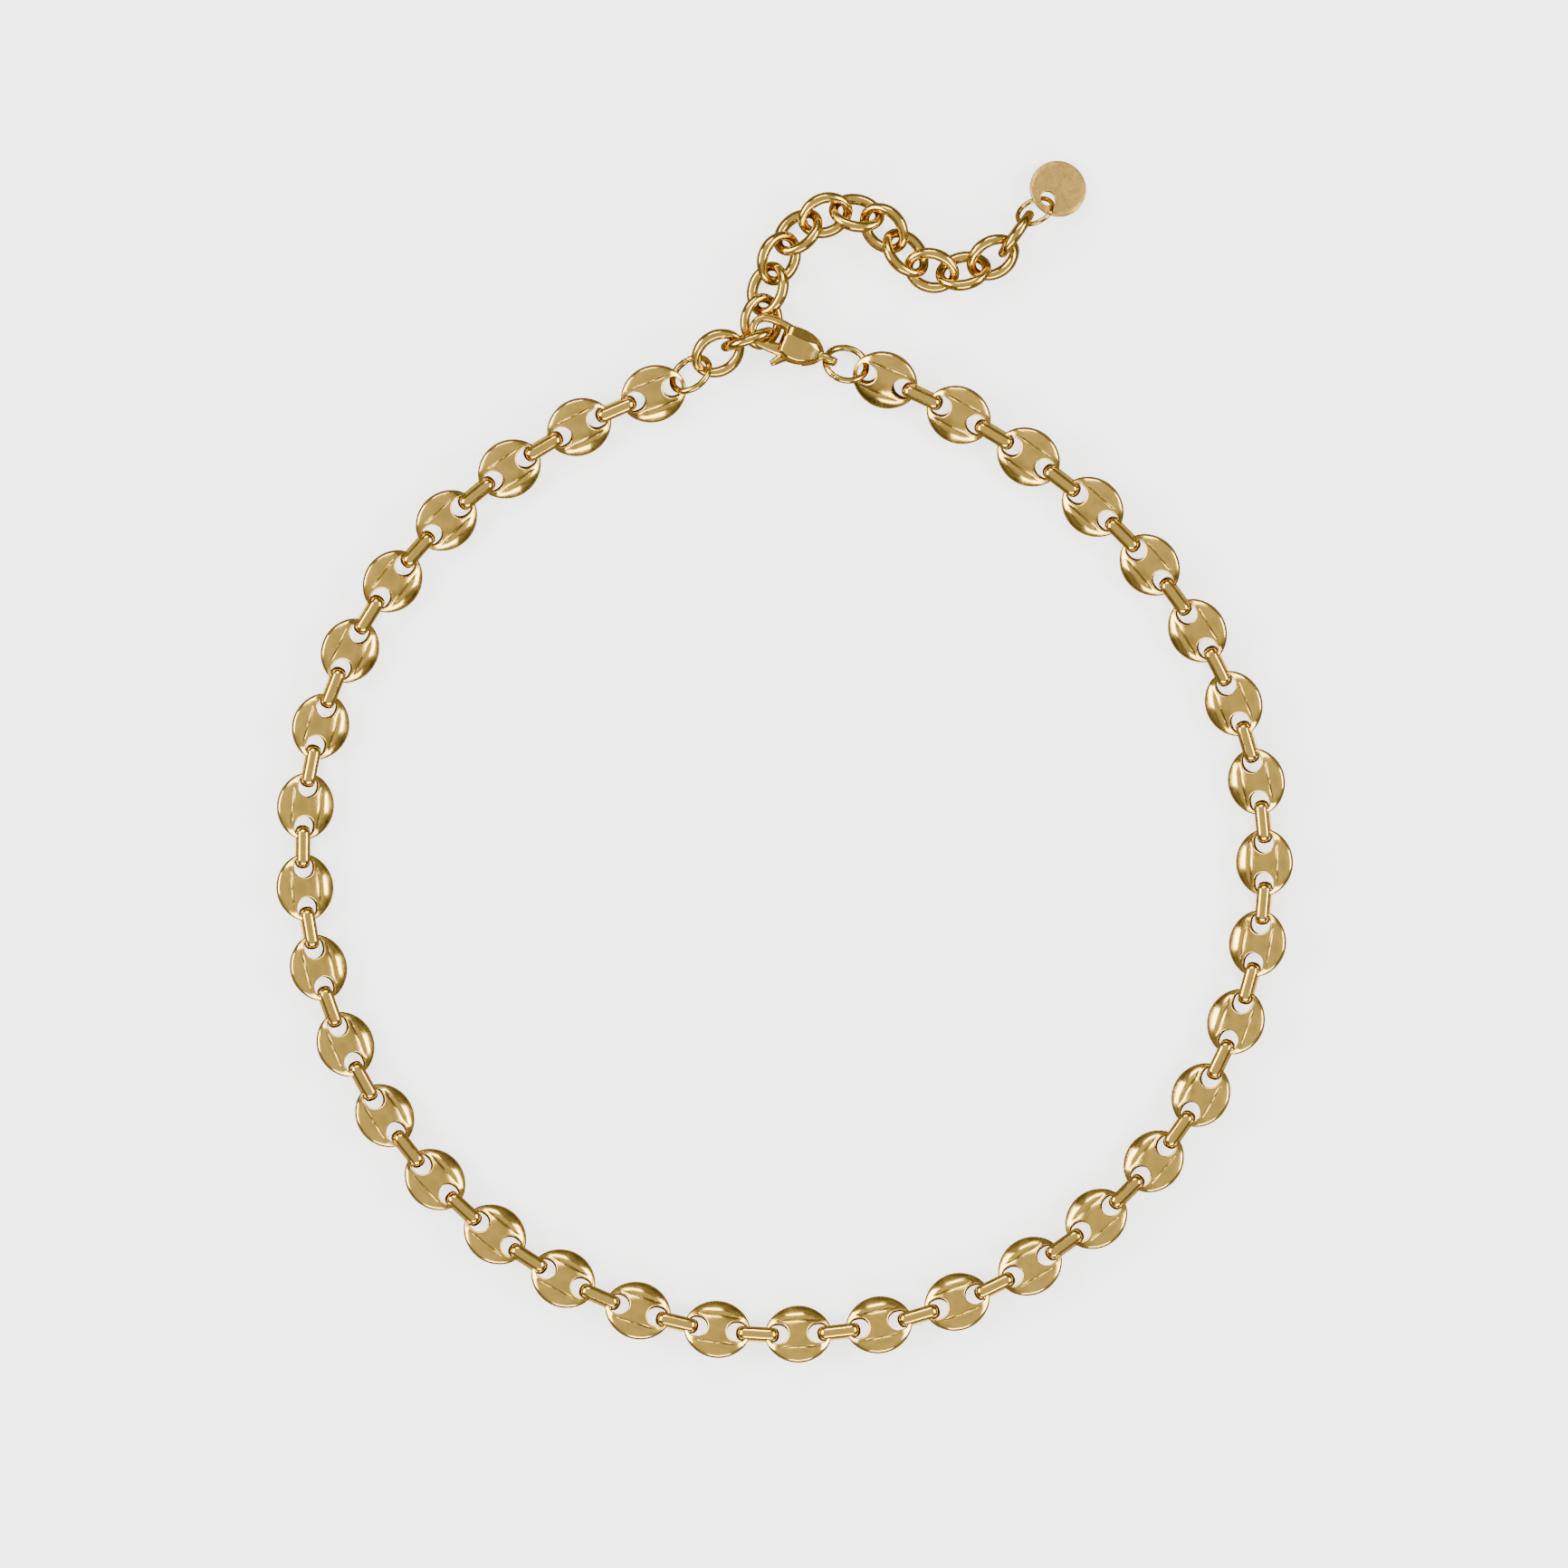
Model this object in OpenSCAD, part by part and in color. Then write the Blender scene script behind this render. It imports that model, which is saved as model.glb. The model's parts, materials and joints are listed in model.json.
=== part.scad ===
// Chain necklace: puffed mariner links, a lobster clasp and an extender chain with a disc tag.
// It lies closed on a flat surface. Millimetres, +Z up, +Y towards the clasp, Z = 0 on the surface.

/* [Main chain] */
// Number of puffed bean links, an odd number so that one lies at the bottom
bean_count = 35; // [35]
// Length of a bean link along the chain
bean_length = 8.65; // [8.6:0.01:8.75]
// Width of a bean link across the chain
bean_width = 7.3; // [7:0.1:7.5]
// Thickness of a bean link at its middle
bean_thickness = 3.2; // [3:0.1:3.4]
// Width of the thin rim at each end of a bean link
bean_rim = 0.87; // [0.8:0.01:0.95]
// Length of the bar between the two holes of a bean link
bean_bar = 2.46; // [2.3:0.02:2.6]
// Width of each hole of a bean link
bean_hole = 2.5; // [2.4:0.05:2.7]
// Open gap between neighbouring bean links, bridged by a ring
bean_gap = 1.85; // [1.8:0.01:1.95]
// Height of the upright ring that joins two bean links
ring_height = 3.7; // [3.6:0.1:4]
// Width of the strap that the upright ring is bent from
ring_width = 1.7; // [1.5:0.02:1.8]
// Thickness of that strap
ring_strap = 0.9; // [0.8:0.02:0.94]

/* [Lay] */
// How far the chain has rolled over about its own line, tops towards the middle of the necklace
chain_roll = 15; // [0:1:16]
// Mean turn of the chain from one bean link to the next
lay_turn = 9.16; // [9.1:0.01:9.2]
// Heading of the chain at its bottom link
lay_tilt = 1.4; // [0:0.1:3]

/* [Extender] */
// Number of cable links in the extender chain
cable_count = 12; // [12]
// Outer length of a cable link
cable_length = 7.3; // [7.2:0.05:7.4]
// Outer width of a cable link
cable_width = 6.1; // [6:0.05:6.2]
// Wire of a cable link
cable_wire = 1.25; // [1.2:0.01:1.27]
// Roll of the extender links, one way and the other by turns
cable_roll = 36; // [35:1:40]
// Distance from one crossing of two cable links to the next
cable_pitch = 4.23; // [4.2:0.01:4.25]

/* [Rings and tag] */
// Outer diameter of the jump ring at each end of the main chain
jump_ring_size = 6.2; // [6:0.05:6.3]
// Wire of those jump rings
jump_ring_wire = 0.86; // [0.8:0.02:0.88]
// Outer diameter of the thin ring that holds the tag
tag_ring_size = 5.4; // [5.3:0.1:5.6]
// Wire of the tag ring
tag_ring_wire = 0.64; // [0.6:0.02:0.66]
// Diameter of the tag
tag_size = 7.4; // [7:0.1:7.6]
// Thickness of the tag
tag_thickness = 0.6; // [0.5:0.05:0.6]

/* [Clasp] */
// Thickness of the clasp body
clasp_thickness = 3.8; // [3.6:0.1:4]
// Thickness of the clasp hook
hook_thickness = 1.4; // [1.3:0.05:1.5]
// Thickness of the lever
lever_thickness = 1.2; // [1.1:0.05:1.25]
// Diameter of the rivet
rivet_size = 0.8; // [0.7:0.05:0.85]

/* [Hidden] */
$fn = 48;
mid = (bean_count + 1) / 2;
clearance = 0.12;
lever_head = 1.05;
gold = "goldenrod";

function two_digits(i) = str(i < 10 ? "0" : "", i);
function bean_name(i) = str("bean_", two_digits(i));
function cable_name(i) = str("extender_", two_digits(i));

// ---- Where the main chain lies ----

// Half the distance between the middles of a bean link's two end rims
rim_reach = (bean_length - bean_rim) / 2;
// Distance between the rims that one upright ring joins
rim_step = bean_gap + bean_rim;
// The chain's line is as high as makes the rolled rings stand on the surface
chain_height = ring_height / 2 * cos(chain_roll) + ring_width / 2 * sin(chain_roll);
bottom_link = [1.75, -73.82];

function along(angle) = [cos(angle), sin(angle)];
// Heading of the upright ring after bean link i: a round lay, flatter by the clasp
lay_step = 10;
lay_sines = [6.94, -3.5, 1.56];
lay_cosines = [0.6, -1.15, 0.8];
function lay_wave(k, s) =
    lay_sines[k - 1] * sin(k * lay_step * s) + lay_cosines[k - 1] * cos(k * lay_step * s);
function ring_heading(i) =
    let (s = i - mid + 0.5)
    lay_tilt + lay_turn * s + lay_wave(1, s) + lay_wave(2, s) + lay_wave(3, s);
end_bean_bend = 2;
function bean_heading(i) =
    i == 1 ? ring_heading(1) - end_bean_bend
    : i == bean_count ? ring_heading(bean_count - 1) + end_bean_bend
    : (ring_heading(i - 1) + ring_heading(i)) / 2;
// From the middle of bean link i to the middle of the next
function bean_step(i) =
    rim_reach * (along(bean_heading(i)) + along(bean_heading(i + 1)))
        + rim_step * along(ring_heading(i));
function bean_at(i) =
    i == mid ? bottom_link
    : i > mid ? bean_at(i - 1) + bean_step(i - 1)
    : bean_at(i + 1) - bean_step(i);
// The ring that belongs to bean link i is the one towards the bottom link
function ring_before(i) = i > mid ? i - 1 : i;
function rim_after(i) = bean_at(i) + rim_reach * along(bean_heading(i));
function ring_at(i) = rim_after(i) + rim_step / 2 * along(ring_heading(i));
// Each bean link swings about the rim that its ring hangs on
function bean_pivot(i) =
    i > mid ? rim_after(i - 1)
    : bean_at(i + 1) - rim_reach * along(bean_heading(i + 1));

// Puts a piece, made along X about the origin, where it lies: pose is its height, roll and pitch
module lay(at, heading, pose) {
    translate([at[0], at[1], pose[0]])
        rotate([0, 0, heading])
            rotate([0, -pose[2], 0])
                rotate([pose[1], 0, 0])
                    children();
}

// ---- Bean links ----

// The last link lies a little steeper, with the clasp's ring through it
last_bean_roll = chain_roll + 6;
chain_pose = [chain_height, -chain_roll, 0];
last_bean_pose = [chain_height, -last_bean_roll, 0];

dome_radius = 7.5;
side_radius = 4.7;
hole_radius = bean_hole / 2;
hole_start = bean_bar / 2;
hole_end = bean_length / 2 - bean_rim;
hole_corner_width = 2.2;
// The edge of a hole is bevelled from this height above the middle of the link
bevel_start = 0.55;
bevel = 1;

module bean_outline() {
    intersection() {
        circle(r = bean_length / 2);
        translate([0, side_radius - bean_width / 2])
            circle(r = side_radius);
        translate([0, bean_width / 2 - side_radius])
            circle(r = side_radius);
    }
}

module bean_hole_cut() {
    translate([hole_start + hole_radius, 0, -bean_thickness])
        cylinder(r = hole_radius, h = 2 * bean_thickness);
    for (side = [0, 1])
        mirror([0, 0, side])
            translate([hole_start + hole_radius, 0, bevel_start])
                cylinder(r1 = hole_radius, r2 = hole_radius + bevel, h = bevel);
    translate([hole_start + hole_radius, -hole_corner_width / 2, -bean_thickness])
        cube([hole_end - hole_start - hole_radius, hole_corner_width, 2 * bean_thickness]);
}

module bean_link() {
    difference() {
        intersection() {
            translate([0, 0, -bean_thickness])
                linear_extrude(height = 2 * bean_thickness)
                    bean_outline();
            translate([0, 0, bean_thickness / 2 - dome_radius])
                sphere(r = dome_radius);
            translate([0, 0, dome_radius - bean_thickness / 2])
                sphere(r = dome_radius);
        }
        bean_hole_cut();
        mirror([1, 0, 0])
            bean_hole_cut();
    }
}

// ---- Upright rings ----

ring_length = rim_step + bean_rim + 2 * clearance + 2 * ring_strap;
ring_corner = 1.25;
ring_inner_corner = 0.2;

module rounded_block(length, height, corner, width) {
    rotate([90, 0, 0])
        translate([0, 0, -width / 2])
            linear_extrude(height = width) {
                square([length - 2 * corner, height], center = true);
                square([length, height - 2 * corner], center = true);
                for (x = [-1, 1], z = [-1, 1])
                    translate([x * (length / 2 - corner), z * (height / 2 - corner)])
                        circle(r = corner);
            }
}

module upright_ring() {
    difference() {
        rounded_block(ring_length, ring_height, ring_corner, ring_width);
        rounded_block(ring_length - 2 * ring_strap, ring_height - 2 * ring_strap,
            ring_inner_corner, 2 * ring_width);
    }
}

module bean(i) {
    color(gold) {
        lay(bean_at(i), bean_heading(i), i == bean_count ? last_bean_pose : chain_pose)
            bean_link();
        if (i != mid)
            lay(ring_at(ring_before(i)), ring_heading(ring_before(i)), chain_pose)
                upright_ring();
    }
}

// ---- Cable links and jump rings ----

module wire_arc(radius, wire, start, angle) {
    rotate([0, 0, start])
        rotate_extrude(angle = angle)
            translate([radius, 0])
                circle(d = wire);
}

cable_end_radius = 1.95;
side_thinner = 0.02;
side_overlap = 2;

// An oval of four arcs that run into each other
module cable_link() {
    end_at = cable_reach - cable_end_radius;
    wider = (cable_width - cable_wire) / 2 - cable_end_radius;
    side_at = (end_at * end_at - wider * wider) / (2 * wider);
    side_arc = (cable_width - cable_wire) / 2 + side_at;
    turn = atan2(side_at, end_at);
    for (flip = [0, 180])
        rotate([0, 0, flip]) {
            translate([end_at, 0, 0])
                wire_arc(cable_end_radius, cable_wire, -turn, 2 * turn);
            translate([0, -side_at, 0])
                wire_arc(side_arc, cable_wire - side_thinner, turn - side_overlap,
                    180 - 2 * turn + 2 * side_overlap);
        }
}

// A wire ring whose ends meet in a narrow seam
module jump_ring(size, wire, seam_at, seam = 4) {
    wire_arc((size - wire) / 2, wire, seam_at + seam / 2, 360 - seam);
}

// ---- Where the ends of the chain lie ----

// From the middle of a link to the middle of the wire at its end
jump_ring_reach = (jump_ring_size - jump_ring_wire) / 2;
cable_reach = (cable_length - cable_wire) / 2;
// Two links that cross hold the middles of their end wires this far apart
cable_cross = 2 * cable_reach - cable_pitch;
ring_cross = (jump_ring_wire + cable_wire) / 2 + 2 * clearance;
rim_cross = (bean_rim + jump_ring_wire) / 2 + 2 * clearance;

left_ring_heading = 41;
end_link_heading = 33.7;
catch_link_heading = 16.3;
left_rim = bean_at(1) - rim_reach * along(bean_heading(1));
left_ring_at = left_rim + (jump_ring_reach - rim_cross) * along(left_ring_heading);
left_crossing = left_ring_at + (jump_ring_reach - ring_cross / 2) * along(left_ring_heading);
end_link_at = left_crossing + (cable_reach - ring_cross / 2) * along(end_link_heading);
catch_crossing = end_link_at + (cable_reach - cable_cross / 2) * along(end_link_heading);
catch_link_at = catch_crossing + (cable_reach - cable_cross / 2) * along(catch_link_heading);
left_ring_pose = [2.38, -43.7, 0];
end_link_pose = [2.98, 26.6, 6.8];
catch_link_pose = [cable_width / 2 + 0.28, 101, 16.8];
left_ring_seam = 70;
link_height = (cable_width - cable_wire) / 2 * sin(cable_roll) + cable_wire / 2;
// Where the first extender link crosses the catch link, and the heading of each extender link
catch_crossing_shift = [1.55, -0.07];
extender_start = catch_link_at + catch_crossing_shift[0] * along(catch_link_heading)
    + catch_crossing_shift[1] * along(catch_link_heading + 90);
extender_headings = [82, 76, 64, 44, 20, -12, -46, -52, -16, 14, 34, 56];

function cable_crossing(i) =
    i == 0 ? extender_start : cable_crossing(i - 1) + cable_pitch * along(extender_headings[i - 1]);
function cable_at(i) = (cable_crossing(i - 1) + cable_crossing(i)) / 2;

module left_ring() {
    color(gold)
        lay(left_ring_at, left_ring_heading, left_ring_pose)
            jump_ring(jump_ring_size, jump_ring_wire, left_ring_seam);
}

module end_link() {
    color(gold)
        lay(end_link_at, end_link_heading, end_link_pose)
            cable_link();
}

module catch_link() {
    color(gold)
        lay(catch_link_at, catch_link_heading, catch_link_pose)
            cable_link();
}

// Extender links lean one way and the other by turns, and the last one stands on edge
first_extender_pose = [1.9, 29.3, 2.8];
last_extender_pose = [cable_width / 2 + 0.04, 93, -10];
next_to_last_extender_pose = [link_height + 0.35, cable_roll, 13.9];
function extender_pose(i) =
    i == 1 ? first_extender_pose
    : i == cable_count ? last_extender_pose
    : i == cable_count - 1 ? next_to_last_extender_pose
    : [link_height, (i % 2 == 0 ? -1 : 1) * cable_roll, 0];

module extender(i) {
    color(gold)
        lay(cable_at(i), extender_headings[i - 1], extender_pose(i))
            cable_link();
}

// ---- Tag ----

tag_ring_heading = 45;
tag_ring_pose = [2.3, -46.7, -13.9];
tag_pose = [1.35, 0, -11.3];
tag_ring_seam = -80;
tag_hole = 1.9;
tag_hole_edge = 0.8;
tag_ring_reach = (tag_ring_size - tag_ring_wire) / 2;
tag_hole_reach = tag_size / 2 - tag_hole_edge - tag_hole / 2;
tag_cross = (tag_ring_wire + cable_wire) / 2 + 2 * clearance;
tag_ring_at = cable_crossing(cable_count) + (tag_ring_reach - tag_cross / 2) * along(tag_ring_heading);
tag_hole_at = tag_ring_at + tag_ring_reach * along(tag_ring_heading);
tag_at = tag_hole_at + tag_hole_reach * along(tag_ring_heading);

module tag_ring() {
    color(gold)
        lay(tag_ring_at, tag_ring_heading, tag_ring_pose)
            jump_ring(tag_ring_size, tag_ring_wire, tag_ring_seam);
}

module tag() {
    color(gold)
        lay(tag_at, tag_ring_heading, tag_pose)
            difference() {
                translate([0, 0, -tag_thickness / 2])
                    cylinder(d = tag_size, h = tag_thickness);
                translate([-tag_hole_reach, 0, -tag_thickness])
                    cylinder(d = tag_hole, h = 2 * tag_thickness);
            }
}

// ---- Clasp, made with its ring hole at the origin and its hook along +X ----

right_rim = rim_after(bean_count);
clasp_ring_heading = 161;
clasp_side = 164.3;
clasp_ring_at = right_rim + (jump_ring_reach - rim_cross) * along(clasp_ring_heading);
clasp_at = clasp_ring_at + jump_ring_reach * along(clasp_side);
clasp_heading = 158;
clasp_ring_pose = [1.94, 33.6, 0];
clasp_ring_seam = -110;
clasp_pose = [2.14, 0, 11.5];
pivot_at = [3.8, -0.55];
hook_at = [8.55, 0.2];
hook_outer = 2.25;
hook_inner = 1.2;
tail_hole = 1.8;
tail_hole_outside = 3.4;
tail_width = 1.2;
tail_height = 3.1;
slot_thickness = 1.9;

module placed_clasp() {
    lay(clasp_at, clasp_heading, clasp_pose)
        mirror([0, 1, 0])
            children();
}

module clasp_ring() {
    color(gold)
        lay(clasp_ring_at, clasp_ring_heading, clasp_ring_pose)
            jump_ring(jump_ring_size, jump_ring_wire, clasp_ring_seam);
}

module flat(thickness) {
    translate([0, 0, -thickness / 2])
        linear_extrude(height = thickness)
            children();
}

module hook_ring(radius) {
    translate([hook_at[0], hook_at[1]])
        circle(r = radius);
}

// The body: a rounded shell with a slot for the lever, a hook in front and a tail behind
module clasp_body() {
    color(gold)
        placed_clasp()
            difference() {
                union() {
                    intersection() {
                        flat(clasp_thickness)
                            polygon([[-0.6, 1.1], [-0.6, -1.1], [0.6, -1.25], [2, -2.3],
                                [5.4, -2.45], [6.1, -2], [6.4, 2.2], [2, 2.45], [0.6, 1.25]]);
                        translate([3, 0, 0])
                            sphere(r = 3.95);
                    }
                    flat(tail_height)
                        translate([-tail_height / 2, -tail_width / 2])
                            square([tail_height, tail_width]);
                    flat(hook_thickness)
                        difference() {
                            union() {
                                hook_ring(hook_outer);
                                translate([5.5, hook_at[1] + hook_inner])
                                    square([hook_at[0] - 5.5, hook_outer - hook_inner]);
                            }
                            hook_ring(hook_inner);
                            translate([5, hook_at[1] - hook_outer - 1])
                                square([4.3, hook_outer + 1]);
                        }
                }
                rotate([90, 0, 0])
                    cylinder(d = tail_hole, h = 4, center = true);
                for (side = [-90, 90])
                    rotate([side, 0, 0])
                        cylinder(d1 = tail_hole, d2 = tail_hole_outside, h = tail_width);
                translate([pivot_at[0] - 1.3, -3, -slot_thickness / 2])
                    cube([5, 3.9, slot_thickness]);
                translate([pivot_at[0], pivot_at[1], -clasp_thickness])
                    cylinder(d = rivet_size, h = 2 * clasp_thickness);
            }
}

// The sprung lever that shuts the hook, with its thumb tab
module clasp_lever() {
    color(gold)
        placed_clasp()
            translate([pivot_at[0], pivot_at[1], -slot_thickness / 2 + 0.1])
                linear_extrude(height = lever_thickness)
                    difference() {
                        polygon(concat([for (a = [80:20:280]) lever_head * [cos(a), sin(a)]],
                            [[0.6, -1.0], [2.4, -3.1], [2.9, -3], [3.1, -2.6], [2.6, -1.4],
                            [3, -1.35], [5.2, -1.4], [5.5, -1.1], [5.3, -0.75], [3, 0.1],
                            [0.6, 0.75]]));
                        circle(d = rivet_size + 0.1);
                    }
}

module clasp_rivet() {
    color(gold)
        placed_clasp()
            translate([pivot_at[0], pivot_at[1], -1.8])
                cylinder(d = rivet_size, h = 3.6);
}

module clasp_spring() {
    color("silver")
        placed_clasp()
            translate([pivot_at[0], pivot_at[1], 0.65])
                wire_arc(0.65, 0.3, 0, 300);
}

for (i = [1:bean_count])
    bean(i);
left_ring();
end_link();
catch_link();
for (i = [1:cable_count])
    extender(i);
tag_ring();
tag();
clasp_ring();
clasp_body();
clasp_lever();
clasp_rivet();
clasp_spring();
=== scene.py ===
import json
import math

import bmesh
import bpy
import numpy as np
from mathutils import Matrix, Vector


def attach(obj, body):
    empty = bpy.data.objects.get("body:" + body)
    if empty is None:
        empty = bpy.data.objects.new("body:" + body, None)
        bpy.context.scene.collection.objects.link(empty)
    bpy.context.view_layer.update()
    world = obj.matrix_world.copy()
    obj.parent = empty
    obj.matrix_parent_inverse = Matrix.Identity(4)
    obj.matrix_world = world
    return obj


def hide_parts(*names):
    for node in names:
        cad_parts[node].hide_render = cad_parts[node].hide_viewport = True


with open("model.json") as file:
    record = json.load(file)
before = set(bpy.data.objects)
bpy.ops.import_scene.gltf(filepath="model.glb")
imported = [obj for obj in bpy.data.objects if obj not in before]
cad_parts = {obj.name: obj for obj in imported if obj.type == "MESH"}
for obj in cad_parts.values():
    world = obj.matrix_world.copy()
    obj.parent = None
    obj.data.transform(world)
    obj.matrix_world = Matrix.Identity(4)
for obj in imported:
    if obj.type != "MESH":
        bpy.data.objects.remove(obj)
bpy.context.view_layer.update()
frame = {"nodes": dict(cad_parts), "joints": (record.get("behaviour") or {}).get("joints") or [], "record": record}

MM = 0.001
BEANS = 35
CABLES = 12
SKIN = 0.01  # how far most surfaces stay inside the CAD's, in mm

# ---------------------------------------------------------------------------
# Where things lie: read from the CAD solids and the joints
# ---------------------------------------------------------------------------


def solids(node):
    """The separate solids of a CAD node, largest first, each as (points, triangles)."""
    mesh = frame["nodes"][node].data
    mesh.calc_loop_triangles()
    points = np.empty(len(mesh.vertices) * 3)
    mesh.vertices.foreach_get("co", points)
    triangles = np.empty(len(mesh.loop_triangles) * 3, np.int64)
    mesh.loop_triangles.foreach_get("vertices", triangles)
    points, same = np.unique(np.round(points.reshape(-1, 3), 7), axis=0, return_inverse=True)
    triangles = same.reshape(-1)[triangles].reshape(-1, 3)
    label = np.arange(len(points))
    while True:
        lowest = label[triangles].min(axis=1)
        new = label.copy()
        for corner in range(3):
            np.minimum.at(new, triangles[:, corner], lowest)
        new = new[new]
        if (new == label).all():
            break
        label = new
    found = []
    for name in np.unique(label[triangles[:, 0]]):
        found.append((points, triangles[label[triangles[:, 0]] == name]))
    found.sort(key=lambda s: -np.ptp(s[0][s[1].ravel()], axis=0).prod())
    return found


def placement(solid):
    """Middle of a solid and its long, middle and short axes, from its surface."""
    points, triangles = solid
    a, b, c = (points[triangles[:, i]] for i in range(3))
    area = np.linalg.norm(np.cross(b - a, c - a), axis=1) / 2
    centre = (a + b + c) / 3
    middle = (centre * area[:, None]).sum(0) / area.sum()
    spread = np.zeros((3, 3))
    for p, weight in ((a, 1), (b, 1), (c, 1), (centre, 9)):
        q = p - middle
        spread += np.einsum("n,ni,nj->ij", area * weight / 12, q, q)
    axes = np.linalg.eigh(spread)[1][:, ::-1].T
    return middle, axes


def upward(axis):
    """The axis, or its opposite where it points down."""
    return axis if axis[2] > 0 else -axis


def matrix_of(origin, x, z):
    """A frame at origin with +X along x and +Z along z."""
    x = np.array(x) / np.linalg.norm(x)
    z = np.array(z) / np.linalg.norm(z)
    y = np.cross(z, x)
    m = Matrix.Identity(4)
    for row in range(3):
        m[row][0], m[row][1], m[row][2], m[row][3] = x[row], y[row], z[row], origin[row]
    return m


joint_at = {j["name"]: np.array(j.get("pos_m", (0, 0, 0)), float) for j in frame["joints"]}
joint_axis = {j["name"]: np.array(j["axis"], float) for j in frame["joints"]}
body_of = {}
for body_name, body_nodes in frame["record"]["behaviour"]["bodies"].items():
    for body_node in body_nodes:
        body_of[body_node] = body_name

# ---------------------------------------------------------------------------
# Materials
# ---------------------------------------------------------------------------


def metal(name, colour, roughness, grain=0.0, grain_size=900.0, stretch=(1, 1, 1), mottle=0.06,
          mottle_size=350.0, scratches=0.06):
    """Gold plate: small changes of tone, a fine grain or scratches in its bump, uneven gloss, and painted shade
    from a per-point attribute.
    """
    material = bpy.data.materials.new(name)
    material.use_nodes = True
    nodes, links = material.node_tree.nodes, material.node_tree.links
    shader = nodes["Principled BSDF"]
    shader.inputs["Metallic"].default_value = 1.0
    where = nodes.new("ShaderNodeTexCoord")
    # tone
    tone = nodes.new("ShaderNodeTexNoise")
    tone.inputs["Scale"].default_value = mottle_size
    tone.inputs["Detail"].default_value = 3.0
    links.new(where.outputs["Object"], tone.inputs["Vector"])
    ramp = nodes.new("ShaderNodeValToRGB")
    dark = tuple(c * (1 - mottle) for c in colour) + (1,)
    light = tuple(min(1, c * (1 + mottle)) for c in colour) + (1,)
    ramp.color_ramp.elements[0].position = 0.3
    ramp.color_ramp.elements[0].color = dark
    ramp.color_ramp.elements[1].position = 0.7
    ramp.color_ramp.elements[1].color = light
    links.new(tone.outputs["Fac"], ramp.inputs["Fac"])
    # painted shade: a per-point attribute blends the colour towards a dark brown where shade falls, in the bean's
    # creases and down its side walls
    painted_shade = nodes.new("ShaderNodeAttribute")
    painted_shade.attribute_name = "painted_shade"
    shade_blend = nodes.new("ShaderNodeMix")
    shade_blend.data_type = "RGBA"
    shade_blend.inputs["B"].default_value = (colour[0] * 0.22, colour[1] * 0.17, colour[2] * 0.12, 1)
    links.new(painted_shade.outputs["Fac"], shade_blend.inputs["Factor"])
    links.new(ramp.outputs["Color"], shade_blend.inputs["A"])
    links.new(shade_blend.outputs["Result"], shader.inputs["Base Color"])
    # gloss
    gloss = nodes.new("ShaderNodeTexNoise")
    gloss.inputs["Scale"].default_value = mottle_size * 2.5
    gloss.inputs["Detail"].default_value = 4.0
    links.new(where.outputs["Object"], gloss.inputs["Vector"])
    spread = nodes.new("ShaderNodeMapRange")
    spread.inputs["From Min"].default_value = 0.3
    spread.inputs["From Max"].default_value = 0.7
    spread.inputs["To Min"].default_value = roughness * 0.8
    spread.inputs["To Max"].default_value = roughness * 1.25
    links.new(gloss.outputs["Fac"], spread.inputs["Value"])
    links.new(spread.outputs["Result"], shader.inputs["Roughness"])
    # grain
    mapping = nodes.new("ShaderNodeMapping")
    mapping.inputs["Scale"].default_value = stretch
    links.new(where.outputs["Object"], mapping.inputs["Vector"])
    fine = nodes.new("ShaderNodeTexNoise")
    fine.inputs["Scale"].default_value = grain_size
    fine.inputs["Detail"].default_value = 5.0
    fine.inputs["Roughness"].default_value = 0.6
    links.new(mapping.outputs["Vector"], fine.inputs["Vector"])
    wave = nodes.new("ShaderNodeTexNoise")
    wave.inputs["Scale"].default_value = 260.0
    wave.inputs["Detail"].default_value = 1.0
    links.new(where.outputs["Object"], wave.inputs["Vector"])
    first = nodes.new("ShaderNodeBump")
    first.inputs["Strength"].default_value = scratches
    first.inputs["Distance"].default_value = 0.06 * MM
    links.new(wave.outputs["Fac"], first.inputs["Height"])
    second = nodes.new("ShaderNodeBump")
    second.inputs["Strength"].default_value = grain
    second.inputs["Distance"].default_value = 0.02 * MM
    links.new(fine.outputs["Fac"], second.inputs["Height"])
    links.new(first.outputs["Normal"], second.inputs["Normal"])
    links.new(second.outputs["Normal"], shader.inputs["Normal"])
    return material


GOLD = (0.81, 0.53, 0.115)
polished = metal("polished_gold", GOLD, 0.15, grain=0.25, stretch=(0.25, 1, 1))
wire_gold = metal("wire_gold", (0.70, 0.46, 0.095), 0.14, grain=0.25)
clasp_gold = metal("clasp_gold", (0.76, 0.50, 0.105), 0.15, grain=0.3)
tag_gold = metal("tag_gold", (0.74, 0.47, 0.12), 0.30, grain=0.9, grain_size=1500, stretch=(0.12, 1, 1),
                 mottle=0.14, mottle_size=1100, scratches=0.5)
spring_steel = metal("spring_steel", (0.72, 0.70, 0.66), 0.3, grain=0.4)

# ---------------------------------------------------------------------------
# Mesh building
# ---------------------------------------------------------------------------


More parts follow.
